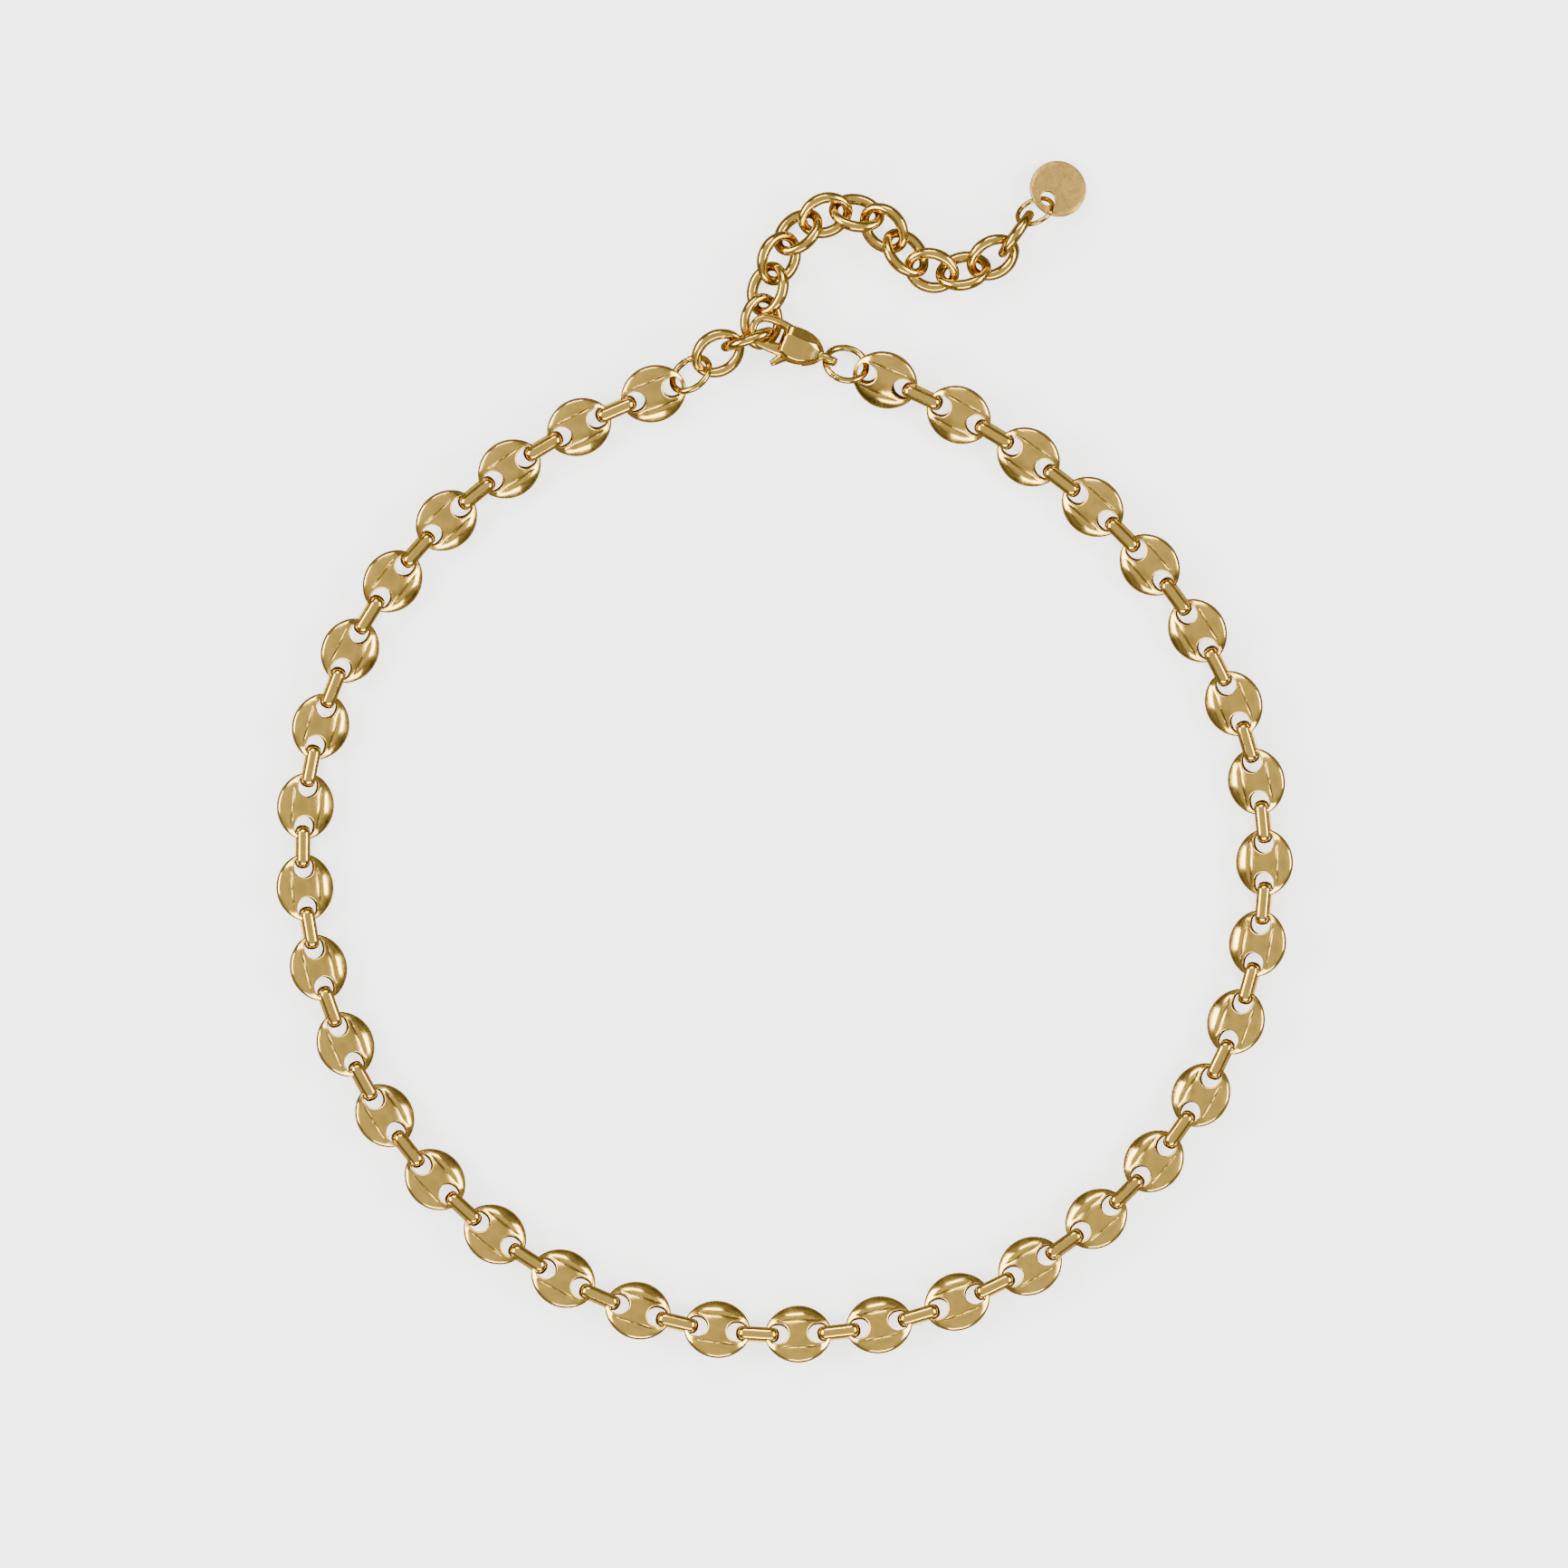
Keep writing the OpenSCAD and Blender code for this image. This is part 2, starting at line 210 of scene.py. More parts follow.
def make_mesh(name, points, faces, material, painted_shade=None):
    """A smooth closed mesh from points in mm; the optional function gives the painted shade, how much darker the
    metal is at a point.
    """
    mesh = bpy.data.meshes.new(name)
    mesh.from_pydata([tuple(p) for p in np.asarray(points, float) * MM], [], faces)
    shape = bmesh.new()
    shape.from_mesh(mesh)
    bmesh.ops.delete(shape, geom=[v for v in shape.verts if not v.link_faces], context="VERTS")
    bmesh.ops.remove_doubles(shape, verts=shape.verts, dist=0.0015 * MM)
    bmesh.ops.recalc_face_normals(shape, faces=shape.faces)
    for face in shape.faces:
        face.smooth = True
    shape.to_mesh(mesh)
    shape.free()
    mesh.materials.append(material)
    layer = mesh.attributes.new("painted_shade", "FLOAT", "POINT")
    if painted_shade:
        layer.data.foreach_set("value", [painted_shade(*(v.co / MM)) for v in mesh.vertices])
    return mesh


def show(mesh, name, node, matrix):
    """Puts a piece in place, on the body of the CAD node that it stands for."""
    piece = bpy.data.objects.new(name, mesh)
    bpy.context.scene.collection.objects.link(piece)
    piece.matrix_world = matrix
    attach(piece, body_of[node])
    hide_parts(node)


def tube_faces(stations, around, closed, caps=False):
    """Faces of a tube of rings of points, one ring after the other."""
    faces = []
    last = stations if closed else stations - 1
    for s in range(last):
        here, there = s * around, ((s + 1) % stations) * around
        for k in range(around):
            j = (k + 1) % around
            faces.append((here + k, there + k, there + j, here + j))
    if caps and not closed:
        faces.append(tuple(range(around))[::-1])
        faces.append(tuple((stations - 1) * around + k for k in range(around)))
    return faces


def smoothstep(x, low, high):
    """0 below low, 1 above high, and an even rise between them."""
    t = np.clip((x - low) / (high - low), 0, 1)
    return t * t * (3 - 2 * t)


# ---------------------------------------------------------------------------
# The puffed bean link
# ---------------------------------------------------------------------------

BEAN_RADIUS = 4.325  # of the two ends of the outline
SIDE_RADIUS = 4.7    # of its two flatter sides
SIDE_SHIFT = 1.05    # of a side's centre, past the middle
DOME_RADIUS = 7.5
DOME_TOP = 1.6
HOLE_AT = 2.48
HOLE_RADIUS = 1.25
HOLE_BEVEL = 0.16
HOLE_BAND = 0.15     # height of the rounded edge of a hole
CREASE_AT = 1.72
CREASE_FROM, CREASE_TO = 1.5, 3.3  # the creases fade out between these, along the link
RIM = 0.3            # width of the rounded rim
RIM_DROP = 0.34      # its height


def outline(angle):
    """Distance from the middle to the outline at an angle in radians."""
    s = np.abs(np.sin(angle))
    side = -SIDE_SHIFT * s + np.sqrt(SIDE_RADIUS**2 - SIDE_SHIFT**2 * (1 - s * s))
    power = 40.0
    return (side**-power + BEAN_RADIUS**-power) ** (-1 / power)


def hole_point(angle, grow):
    """A point of the hole's edge; the corners towards the link's end are fuller."""
    c, s = math.cos(angle), math.sin(angle)
    n = 2.0 if c < 0 else 2.0 + 0.7 * min(1, c * 2.5)
    r = (abs(c) ** n + abs(s) ** n) ** (-1 / n) * HOLE_RADIUS + grow
    return np.array([HOLE_AT + r * c, r * s])


def dome(x, y):
    """Height of a plain dome."""
    return DOME_TOP - DOME_RADIUS + math.sqrt(DOME_RADIUS**2 - x * x - y * y)


def crease_share(x, y):
    """How far a point is in one of the two creases beside the bar, from 0 to 1."""
    along = 1 - float(smoothstep(abs(x), CREASE_FROM, CREASE_TO))
    return along * math.exp(-(((abs(y) - CREASE_AT) / 0.085) ** 2))


def bean_height(x, y):
    """Height of the top of the link: two puffed lobes with a lower bar between them."""
    s = abs(y)
    lobes = dome(x, y) - 0.02
    bar = dome(x, 0) - 0.16 - 0.20 * (s / CREASE_AT) ** 2
    inner = 1 - float(smoothstep(abs(x), CREASE_FROM, CREASE_TO))
    step = float(smoothstep(s, CREASE_AT - 0.05, CREASE_AT + 0.12))
    lobe_side = lobes - 0.10 * math.exp(-(((s - CREASE_AT) / 0.45) ** 2))
    shaped = bar * (1 - step) + lobe_side * step - 0.10 * crease_share(x, y)
    plain = lobes - 0.08 * (1 - float(smoothstep(s, 0.9, 2.2)))
    return inner * shaped + (1 - inner) * plain


def bean_mesh():
    """The link, from one eighth that is mirrored three times.

    Its grid has a row for each step round half of the hole, and the row's points go from the
    hole out to the edge. The first rows, up to corner, stop at the line across the link's middle.
    """
    around, corner, across, rim_steps = 60, 24, 44, (0.35, 0.65, 0.88, 1.0)
    first, quarter = 4, []  # a row has four points of the hole's wall and edge first
    for iu in range(around + 1):
        start = hole_point(math.pi * (1 - iu / around), HOLE_BEVEL)
        inner = hole_point(math.pi * (1 - iu / around), 0.0)
        theta = math.pi / 2 * (1 - max(0, iu - corner) / (around - corner))
        r = float(outline(theta)) - 0.012
        edge = np.array([r * math.cos(theta), r * math.sin(theta)])
        out = edge / r
        rim = min(RIM, 0.45 * np.linalg.norm(edge - start))
        stop = edge - out * rim if iu >= corner else np.array([0.0, (r - RIM) * iu / corner])
        z_edge = bean_height(*start)
        row = [(*inner, 0.0), (*inner, z_edge - 0.17)]
        for k in (0.3, 0.65):
            p = hole_point(math.pi * (1 - iu / around), HOLE_BEVEL * (1 - math.cos(k * math.pi / 2)))
            row.append((*p, z_edge - HOLE_BAND + HOLE_BAND * math.sin(k * math.pi / 2)))
        for iv in range(across + 1):
            p = start + (stop - start) * iv / across
            row.append((p[0], p[1], bean_height(p[0], p[1])))
        z_rim, z_out = bean_height(*stop), bean_height(*edge)
        drop = min(RIM_DROP, 0.8 * z_out)
        for k in rim_steps:
            p = edge - out * rim * (1 - math.sin(k * math.pi / 2))
            row.append((p[0], p[1], z_out - drop + (z_rim - z_out + drop) * math.cos(k * math.pi / 2)))
        row.append((edge[0], edge[1], 0.0))
        quarter.append(row)
    rows, columns = len(quarter), len(quarter[0])
    points, faces = [], []
    for mx in (1, -1):
        for my in (1, -1):
            for mz in (1, -1):
                base = len(points)
                for row in quarter:
                    points += [(p[0] * mx, p[1] * my, p[2] * mz) for p in row]
                for i in range(rows - 1):
                    for j in range(columns - 1):
                        if i < corner and j >= first + across:
                            continue
                        a = base + i * columns + j
                        faces.append((a, a + 1, a + columns + 1, a + columns))

    # painted shade: darker in the creases beside the bar and down the side walls of the link, where shade falls
    def painted_shade(x, y, z):
        top = bean_height(x, y)
        wall = 0.45 * (1 - float(smoothstep(abs(z) / max(top, 0.1), 0.55, 0.85)))
        return max(0.85 * crease_share(x, y), wall)

    return make_mesh("bean_link", points, faces, polished, painted_shade)


# ---------------------------------------------------------------------------
# The upright ring, a bent strap
# ---------------------------------------------------------------------------

RING_LENGTH, RING_HEIGHT, RING_WIDTH, RING_STRAP = 5.63, 3.7, 1.7, 0.9
RING_OUTER_CORNER, RING_INNER_CORNER = 1.25, 0.2
RING_BELLY = 0.72  # share of the strap's thickness that is rounded, on its outer side


def rounded_path(length, height, corner, corners, straight):
    """Points round a rounded rectangle, the same count for every size."""
    path = []
    for q in range(4):
        sx, sz = ((1, 1), (-1, 1), (-1, -1), (1, -1))[q]
        cx, cz = sx * (length / 2 - corner), sz * (height / 2 - corner)
        for k in range(corners + 1):
            a = math.radians(90 * q + 90 * k / corners)
            path.append((cx + corner * math.cos(a), cz + corner * math.sin(a)))
        nx, nz = ((-1, 1), (-1, -1), (1, -1), (1, 1))[q]
        a = math.radians(90 * q + 90)
        ex, ez = nx * (length / 2 - corner), nz * (height / 2 - corner)
        to = (ex + corner * math.cos(a), ez + corner * math.sin(a))
        here = path[-1]
        for k in range(1, straight):
            f = k / straight
            path.append((here[0] + (to[0] - here[0]) * f, here[1] + (to[1] - here[1]) * f))
    return np.array(path)


def ring_mesh():
    """A strap, domed on its outer side, bent round a rounded rectangle."""
    corners, straight, around = 12, 8, 28
    outer = rounded_path(RING_LENGTH - SKIN, RING_HEIGHT - SKIN, RING_OUTER_CORNER, corners, straight)
    inner = rounded_path(RING_LENGTH - 2 * RING_STRAP, RING_HEIGHT - 2 * RING_STRAP, RING_INNER_CORNER,
                         corners, straight)
    points = []
    for o, i in zip(outer, inner):
        for k in range(around):
            a = 2 * math.pi * k / around
            c, s = math.cos(a), math.sin(a)
            n = 2.05 if s > 0 else 3.0
            r = (abs(c) ** n + abs(s) ** n) ** (-1 / n)
            depth = RING_BELLY - r * s * (RING_BELLY if s > 0 else 1 - RING_BELLY)
            p = o + (i - o) * depth
            points.append((p[0], r * c * (RING_WIDTH - SKIN) / 2, p[1]))
    return make_mesh("upright_ring", points, tube_faces(len(outer), around, True), polished)


# ---------------------------------------------------------------------------
# Cable links and jump rings, bent wires
# ---------------------------------------------------------------------------


CABLE_LENGTH, CABLE_WIDTH, CABLE_WIRE, CABLE_END = 7.3, 6.1, 1.25, 1.95
CABLE_STOUTER = 0.20
JUMP_RING, JUMP_WIRE = 6.2, 0.86
THIN_RING, THIN_WIRE = 5.4, 0.64


def sweep(path, normals, widths, around):
    """Points of a round wire bent in the XY plane, of a width for each point of its path."""
    points = []
    for p, n, width in zip(path, normals, widths):
        for k in range(around):
            c, s = (f(2 * math.pi * k / around) * width / 2 for f in (math.cos, math.sin))
            points.append((p[0] + n[0] * c, p[1] + n[1] * c, s))
    return points


def cable_mesh(name, stouter):
    """An oval wire link of two tight ends and two wide sides, which meet without a kink."""
    wire, end, around = CABLE_WIRE, CABLE_END, 26
    reach, half = (CABLE_LENGTH - wire) / 2, (CABLE_WIDTH - wire) / 2
    end_at = reach - end
    wider = half - end
    side_at = (end_at**2 - wider**2) / (2 * wider)
    side = half + side_at
    turn = math.atan2(side_at, end_at)
    path, normals = [], []
    for flip in (0, math.pi):
        for centre, radius, a0, a1, count in (
            ((end_at, 0), end, -turn, turn, 34),
            ((0, -side_at), side, turn, math.pi - turn, 22),
        ):
            for k in range(count):
                a = a0 + (a1 - a0) * k / count
                x = centre[0] + radius * math.cos(a)
                y = centre[1] + radius * math.sin(a)
                cf, sf = math.cos(flip), math.sin(flip)
                path.append((x * cf - y * sf, x * sf + y * cf))
                normals.append((math.cos(a + flip), math.sin(a + flip)))
    # the middles of the two sides are a little stouter than the ends, which bear on each other
    widths = [wire - SKIN + stouter * (1 - float(smoothstep(abs(x), 0.9, 2.7))) for x, _ in path]
    points = sweep(path, normals, widths, around)
    return make_mesh(name, points, tube_faces(len(path), around, True), wire_gold)


def jump_ring_mesh(name, size, wire, seam=2.2):
    """A round wire ring whose two cut ends meet at +X, with their edges rounded."""
    radius = (size - wire) / 2
    stations, around = 108, 22
    path, normals, widths = [], [], []
    angles = [math.radians(seam / 2 + (360 - seam) * k / (stations - 1)) for k in range(stations)]
    for k, a in enumerate(angles):
        path.append((radius * math.cos(a), radius * math.sin(a)))
        normals.append((math.cos(a), math.sin(a)))
        near = min(k, stations - 1 - k)
        widths.append((wire - SKIN) * (0.82 if near == 0 else 1.0))
    points = sweep(path, normals, widths, around)
    return make_mesh(name, points, tube_faces(stations, around, False, True), wire_gold)


def seam_direction(solid, middle, normal):
    """Direction from a cut ring's middle to its seam: that of the flat ends of its wire."""
    points, triangles = solid
    a, b, c = (points[triangles[:, i]] for i in range(3))
    face = np.cross(b - a, c - a)
    area = np.linalg.norm(face, axis=1)
    out = (a + b + c) / 3 - middle
    out -= np.outer(out @ normal, normal)
    tangent = np.cross(normal, out)
    tangent /= np.linalg.norm(tangent, axis=1)[:, None]
    across = np.abs((face * tangent).sum(1)) / area
    ends = across > 0.97
    direction = (out[ends] * area[ends, None]).sum(0)
    return direction / np.linalg.norm(direction)


# ---------------------------------------------------------------------------
# The tag
# ---------------------------------------------------------------------------


TAG_RADIUS, TAG_THICKNESS, TAG_HOLE_AT, TAG_HOLE = 3.7, 0.6, 1.95, 1.9


def tag_mesh(radius, thickness, hole_at, hole):
    """A disc with soft edges, a low rim and a round hole towards -X."""
    around = 120
    rows = []
    half = thickness / 2
    bevel, rim = 0.09, 0.15
    field, field_drop = 0.42, 0.03  # the flat middle stops this far from the edge, this far down
    centre = np.array([-hole_at, 0.0])
    for k in range(around):
        a = 2 * math.pi * k / around
        d = np.array([math.cos(a), math.sin(a)])
        b = centre @ d
        far = -b + math.sqrt(b * b - centre @ centre + (radius - SKIN) ** 2)
        inner = hole / 2
        row = [(inner, 0.0)]
        for t in (0.0, 0.35, 0.7, 1.0):
            q = t * math.pi / 2
            row.append((inner + bevel * (1 - math.cos(q)), half - field_drop - bevel + bevel * math.sin(q)))
        flat_start = inner + bevel + 0.03
        flat_end = far - field
        for t in np.linspace(0, 1, 8):
            row.append((flat_start + (flat_end - flat_start) * t, half - field_drop))
        row.append((far - 0.33, half - 0.008))
        row.append((far - 0.24, half))
        row.append((far - rim, half))
        for t in (0.35, 0.7, 1.0):
            q = t * math.pi / 2
            row.append((far - rim + rim * math.sin(q), half - rim + rim * math.cos(q)))
        row.append((far, 0.0))
        rows.append([(centre[0] + d[0] * r, centre[1] + d[1] * r, z) for r, z in row])
    columns = len(rows[0])
    points, faces = [], []
    for side in (1, -1):
        base = len(points)
        for row in rows:
            points += [(p[0], p[1], p[2] * side) for p in row]
        for i in range(around):
            j = (i + 1) % around
            for c in range(columns - 1):
                faces.append((base + i * columns + c, base + i * columns + c + 1,
                              base + j * columns + c + 1, base + j * columns + c))
    return make_mesh("tag", points, faces, tag_gold)


# ---------------------------------------------------------------------------
# The lobster clasp
# ---------------------------------------------------------------------------


def loft(sections, around=40, ridge=None):
    """A closed form through sections (u, v middle, half width, half thickness, squareness).

    With a ridge (its v, and the slope to either side), two flats meet along each face.
    """
    points = []
    for u, v, wide, thick, n in sections:
        for k in range(around):
            a = 2 * math.pi * k / around
            c, s = math.cos(a), math.sin(a)
            r = (abs(c) ** n + abs(s) ** n) ** (-1 / n)
            across, height = v + wide * r * c, thick * r * s
            if ridge:
                off = across - ridge[0]
                most = thick - abs(off) * (ridge[2] if off > 0 else ridge[1])
                height = math.copysign(min(abs(height), max(most, 0.1)), height)
            points.append((u, across, height))
    return points, tube_faces(len(sections), around, False, True)


def bar(path, around=26):
    """A closed form along (u, v, half width in the plane, half thickness), squarish and rounded."""
    points = []
    path = [np.array(p, float) for p in path]
    for i, p in enumerate(path):
        before, after = path[max(i - 1, 0)], path[min(i + 1, len(path) - 1)]
        d = (after - before)[:2]
        d /= np.linalg.norm(d)
        side = np.array([-d[1], d[0]])
        for k in range(around):
            a = 2 * math.pi * k / around
            c, s = math.cos(a), math.sin(a)
            n = 2.6
            r = (abs(c) ** n + abs(s) ** n) ** (-1 / n)
            q = p[:2] + side * p[2] * r * c
            points.append((q[0], q[1], p[3] * r * s))
    return points, tube_faces(len(path), around, False, True)


def spline(keys, count):
    """Smooth values through key points, by Catmull-Rom."""
    keys = np.array(keys, float)
    out = []
    for t in np.linspace(0, len(keys) - 1, count):
        i = min(int(t), len(keys) - 2)
        f = t - i
        p0, p1 = keys[max(i - 1, 0)], keys[i]
        p2, p3 = keys[i + 1], keys[min(i + 2, len(keys) - 1)]
        out.append(0.5 * (2 * p1 + (p2 - p0) * f + (2 * p0 - 5 * p1 + 4 * p2 - p3) * f * f
                          + (3 * p1 - p0 - 3 * p2 + p3) * f**3))
    return out


def raw_object(name, points, faces):
    """A plain object for cast to work on, which removes it again."""
    mesh = bpy.data.meshes.new(name)
    mesh.from_pydata([tuple(p) for p in points], [], faces)
    shape = bmesh.new()
    shape.from_mesh(mesh)
    bmesh.ops.recalc_face_normals(shape, faces=shape.faces)
    shape.to_mesh(mesh)
    shape.free()
    thing = bpy.data.objects.new(name, mesh)
    bpy.context.scene.collection.objects.link(thing)
    return thing


def cast(solid_parts, cuts, voxel, smoothing, flip):
    """Melts overlapping forms into one casting, after cutting holes: (points, faces) in mm."""
    things = [raw_object("form", *part) for part in solid_parts]
    whole = things[0]
    bpy.context.view_layer.objects.active = whole
    for other in things[1:]:
        step = whole.modifiers.new("join", "BOOLEAN")
        step.operation = "UNION"
        step.solver = "EXACT"
        step.object = other
    holes = [raw_object("cut", *part) for part in cuts]
    for hole in holes:
        step = whole.modifiers.new("cut", "BOOLEAN")
        step.operation = "DIFFERENCE"
        step.solver = "EXACT"
        step.object = hole
    step = whole.modifiers.new("skin", "REMESH")
    step.mode = "VOXEL"
    step.voxel_size = voxel
    step = whole.modifiers.new("polish", "SMOOTH")
    step.factor = 0.5
    step.iterations = smoothing
    shown = whole.evaluated_get(bpy.context.evaluated_depsgraph_get())
    mesh = shown.to_mesh()
    points = [(p.co.x, p.co.y * flip, p.co.z) for p in mesh.vertices]
    faces = [tuple(f.vertices) for f in mesh.polygons]
    shown.to_mesh_clear()
    for thing in things + holes:
        bpy.data.objects.remove(thing, do_unlink=True)
    return points, faces


PIVOT = np.array([3.8, -0.55])  # of the lever, from the middle of the tail's hole
FLIP = -1  # the clasp lies with its other side up
PIN_HOLE = 0.42    # its radius, as COIL is the coil's and COIL_WIRE its wire's
LEVER_SINK = 0.25  # the lever's plate lies off the middle plane by this
COIL, COIL_WIRE, COIL_AT, COIL_LENGTH, COIL_TURNS = 0.62, 0.1, 0.55, 0.24, 2.0


def box_form(low, high):
    """A box between two corners, as (points, faces)."""
    (x0, y0, z0), (x1, y1, z1) = low, high
    points = [(x, y, z) for x in (x0, x1) for y in (y0, y1) for z in (z0, z1)]
    faces = [(0, 1, 3, 2), (4, 6, 7, 5), (0, 4, 5, 1), (2, 3, 7, 6), (0, 2, 6, 4), (1, 5, 7, 3)]
    return points, faces


def clasp_frame():
    """The clasp's own frame, from its two joints: u along it, w along the lever's pin."""
    tail, pin = joint_at["clasp_swing"], joint_at["lever_swing"]
    up = upward(joint_axis["lever_swing"] / np.linalg.norm(joint_axis["lever_swing"]))
    to = pin - tail
    to -= up * (to @ up)
    to /= np.linalg.norm(to)
    bend = math.atan2(PIVOT[1], PIVOT[0]) * FLIP
    u = to * math.cos(-bend) + np.cross(up, to) * math.sin(-bend)
    return matrix_of(tail, u, up)


def clasp_pieces():
    """The casting, the lever, the rivet and the spring, in the clasp's own frame."""
    place = clasp_frame()
    body = loft(spline([
        (0.35, 0.0, 0.80, 0.95, 2.4), (0.9, 0.02, 1.15, 1.22, 2.3), (1.5, 0.03, 1.62, 1.50, 2.4),
        (2.2, 0.02, 2.02, 1.70, 2.6), (3.0, 0.0, 2.25, 1.82, 3.0), (3.9, -0.03, 2.36, 1.87, 3.2),
        (4.8, -0.02, 2.32, 1.87, 3.4), (5.5, 0.05, 2.18, 1.82, 3.4), (6.0, 0.12, 2.02, 1.66, 3.2),
        (6.25, 0.14, 1.86, 1.40, 3.0),
    ], 40), 96, (0.75, 0.10, 0.42))
    tail = loft([
        (-1.42, 0.0, 0.40, 0.95, 2.4), (-1.3, 0.0, 0.56, 1.28, 2.6), (-0.8, 0.0, 0.60, 1.5, 2.8),
        (0.0, 0.0, 0.60, 1.52, 2.8), (0.6, 0.0, 0.66, 1.35, 2.6), (1.4, 0.0, 0.95, 1.2, 2.5),
    ])
    hook = bar(spline([
        (5.0, 1.55, 0.62, 1.05), (6.3, 1.78, 0.58, 0.90), (7.4, 1.93, 0.53, 0.74),
        (8.5, 1.90, 0.52, 0.69), (9.5, 1.60, 0.52, 0.69), (10.15, 0.95, 0.52, 0.68),
        (10.3, 0.15, 0.50, 0.66), (10.1, -0.55, 0.44, 0.60), (9.75, -1.0, 0.34, 0.5),
    ], 44))
    slot = box_form((2.5, -3.2, -0.95), (7.5, 0.95, 0.95))
    tail_hole = bar([(0.0, -2.0, 1.05, 1.05), (0.0, -0.62, 1.05, 1.05), (0.0, -0.1, 0.84, 0.84),
                     (0.0, 0.1, 0.84, 0.84), (0.0, 0.62, 1.05, 1.05), (0.0, 2.0, 1.05, 1.05)], 32)
    pin_hole_points = []
    for w in (-3.0, 3.0):
        for k in range(32):
            a = 2 * math.pi * k / 32
            pin_hole_points.append((PIVOT[0] + PIN_HOLE * math.cos(a), PIVOT[1] + PIN_HOLE * math.sin(a), w))
    pin_hole = (pin_hole_points, tube_faces(2, 32, False, True))
    points, faces = cast([body, tail, hook], [slot, tail_hole], 0.05, 4, FLIP)
    show(make_mesh("clasp_body", points, faces, clasp_gold), "clasp_casting", "clasp_body", place)

    # the lever: a flat plate with a tongue into the hook and a thumb tab
    arm = bar(spline([
        (3.0, -0.55, 0.95, 0.56), (4.4, -0.8, 0.95, 0.58), (5.8, -1.2, 0.86, 0.59),
        (7.2, -1.42, 0.72, 0.58), (8.4, -1.55, 0.54, 0.55), (9.2, -1.65, 0.36, 0.46),
    ], 26))
    thumb = bar(spline([
        (4.3, -1.1, 0.75, 0.55), (5.3, -2.1, 0.62, 0.56), (5.95, -2.9, 0.5, 0.56),
        (6.35, -3.35, 0.40, 0.50),
    ], 16))
    points, faces = cast([arm, thumb], [pin_hole], 0.06, 2, FLIP)
    points = [(p[0], p[1], p[2] - LEVER_SINK) for p in points]
    show(make_mesh("clasp_lever", points, faces, clasp_gold), "clasp_lever_plate", "clasp_lever", place)

    # the rivet, which ends inside the walls of the body: the radius and height of its rows
    rows = [(0.30, -1.42), (0.37, -1.38), (0.39, -1.30), (0.39, 0.0)]
    rows += [(r, -w) for r, w in rows[2::-1]]
    points = []
    for r, w in rows:
        for k in range(28):
            a = 2 * math.pi * k / 28
            points.append((PIVOT[0] + r * math.cos(a), FLIP * PIVOT[1] + r * math.sin(a), w))
    show(make_mesh("clasp_rivet", points, tube_faces(len(rows), 28, False, True), clasp_gold),
         "clasp_rivet_pin", "clasp_rivet", place)

    # the spring, two turns of fine wire round the rivet
    points = []
    stations = 96
    for k in range(stations):
        t = k / (stations - 1)
        a = 2 * math.pi * COIL_TURNS * t
        middle = np.array([COIL * math.cos(a), COIL * math.sin(a), COIL_AT + COIL_LENGTH * t])
        out = np.array([math.cos(a), math.sin(a), 0])
        for j in range(10):
            b = 2 * math.pi * j / 10
            p = middle + (out * math.cos(b) + np.array([0, 0, 1]) * math.sin(b)) * COIL_WIRE
            points.append((PIVOT[0] + p[0], FLIP * PIVOT[1] + p[1], p[2]))
    show(make_mesh("clasp_spring", points, tube_faces(stations, 10, False, True), spring_steel),
         "clasp_spring_coil", "clasp_spring", place)


# ---------------------------------------------------------------------------
# Everything in its place
# ---------------------------------------------------------------------------

bean = bean_mesh()
ring = ring_mesh()
for number in range(1, BEANS + 1):
    node = "bean_%02d" % number
    parts = solids(node)
    middle, axes = placement(parts[0])
    show(bean, node + "_link", node, matrix_of(middle, axes[0], upward(axes[2])))
    if len(parts) > 1:
        middle, axes = placement(parts[1])
        show(ring, node + "_ring", node, matrix_of(middle, axes[0], upward(axes[1])))

cable = cable_mesh("cable_link", CABLE_STOUTER)
# the two that cross at a slant by the clasp have no room for stouter sides
slim_cable = cable_mesh("slim_cable_link", 0.0)
for node in ["end_link", "catch_link"] + ["extender_%02d" % k for k in range(1, CABLES + 1)]:
    middle, axes = placement(solids(node)[0])
    mesh = slim_cable if node in ("catch_link", "extender_01") else cable
    show(mesh, node + "_wire", node, matrix_of(middle, axes[0], upward(axes[2])))

jump = jump_ring_mesh("jump_ring", JUMP_RING, JUMP_WIRE)
thin = jump_ring_mesh("thin_ring", THIN_RING, THIN_WIRE)
# the ring by the clasp has its seam on the side where the photograph shows it
for node, mesh, seam_side in (("left_ring", jump, 1), ("clasp_ring", jump, -1), ("tag_ring", thin, 1)):
    solid = solids(node)[0]
    middle, axes = placement(solid)
    normal = upward(axes[2])
    seam = seam_side * seam_direction(solid, middle, normal)
    show(mesh, node + "_wire", node, matrix_of(middle, seam, normal))

solid = solids("tag")[0]
middle, axes = placement(solid)
normal = upward(axes[2])
towards = joint_at["tag_swing"] - middle
towards -= normal * (towards @ normal)
towards /= np.linalg.norm(towards)
# the disc's own middle is off the middle of its surface, away from the hole
spread = solid[0][np.unique(solid[1])] @ towards
disc = middle + towards * ((spread.max() + spread.min()) / 2 - middle @ towards)
disc_mesh = tag_mesh(TAG_RADIUS, TAG_THICKNESS, TAG_HOLE_AT, TAG_HOLE)
show(disc_mesh, "tag_disc", "tag", matrix_of(disc, -towards, normal))

clasp_pieces()

# ---------------------------------------------------------------------------
# Floor, light and camera
# ---------------------------------------------------------------------------

